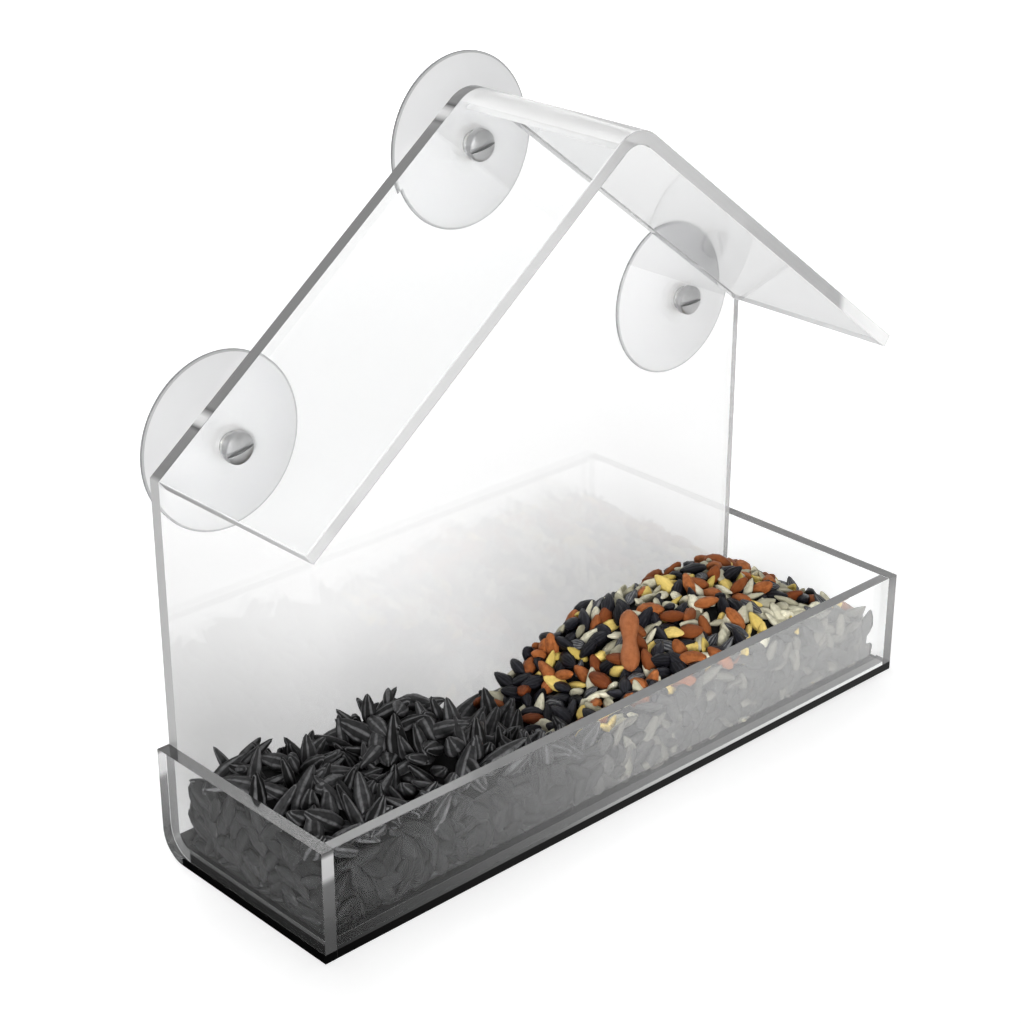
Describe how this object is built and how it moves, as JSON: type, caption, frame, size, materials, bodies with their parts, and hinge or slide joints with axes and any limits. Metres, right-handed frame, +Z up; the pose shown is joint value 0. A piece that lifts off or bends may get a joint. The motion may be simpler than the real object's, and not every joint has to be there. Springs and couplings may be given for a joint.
{
  "type": "window bird feeder",
  "caption": "House-shaped window bird feeder of clear sheet: open seed tray, back panel, bent pitched roof and screwed-on suction cups that hold it to a window pane.",
  "frame": {"origin": "middle of the tray's footprint, on its flat underside", "axes": "+Z up, +Y towards the window that the cups stick to, +X to the right as seen from the front"},
  "size_m": [0.18, 0.0583, 0.1592],
  "materials": {
    "clear_sheet": "clear polished acrylic sheet with bright cut edges",
    "cup_pvc": "cloudy soft PVC, smooth",
    "screw_steel": "nickel-plated steel",
    "bush_brass": "turned brass"
  },
  "bodies": {
    "feeder": {"back_and_floor": "clear_sheet", "front_wall": "clear_sheet", "left_end_wall": "clear_sheet", "right_end_wall": "clear_sheet", "roof": "clear_sheet"},
    "screw_top": {"cup_screw_top": "screw_steel"},
    "cup_top": {"suction_cup_top": "cup_pvc", "cup_bush_top": "bush_brass"},
    "screw_left": {"cup_screw_left": "screw_steel"},
    "cup_left": {"suction_cup_left": "cup_pvc", "cup_bush_left": "bush_brass"},
    "screw_right": {"cup_screw_right": "screw_steel"},
    "cup_right": {"suction_cup_right": "cup_pvc", "cup_bush_right": "bush_brass"}
  },
  "joints": [
    {"name": "screw_turn_top", "type": "hinge", "parent": "feeder", "child": "screw_top", "pos_m": [0, 0.0275, 0.1397], "axis": [0, -1, 0], "range_deg": [0, 2160]},
    {"name": "cup_travel_top", "type": "slide", "parent": "feeder", "child": "cup_top", "axis": [0, 1, 0], "range_m": [0, 0.0042]},
    {"name": "screw_turn_left", "type": "hinge", "parent": "feeder", "child": "screw_left", "pos_m": [-0.06745, 0.0275, 0.0892], "axis": [0, -1, 0], "range_deg": [0, 2160]},
    {"name": "cup_travel_left", "type": "slide", "parent": "feeder", "child": "cup_left", "axis": [0, 1, 0], "range_m": [0, 0.0042]},
    {"name": "screw_turn_right", "type": "hinge", "parent": "feeder", "child": "screw_right", "pos_m": [0.06745, 0.0275, 0.0892], "axis": [0, -1, 0], "range_deg": [0, 2160]},
    {"name": "cup_travel_right", "type": "slide", "parent": "feeder", "child": "cup_right", "axis": [0, 1, 0], "range_m": [0, 0.0042]}
  ],
  "couplings": [
    {"joint": "screw_turn_top", "follows": "cup_travel_top", "rad_per_m": 8975.9},
    {"joint": "screw_turn_left", "follows": "cup_travel_left", "rad_per_m": 8975.9},
    {"joint": "screw_turn_right", "follows": "cup_travel_right", "rad_per_m": 8975.9}
  ]
}
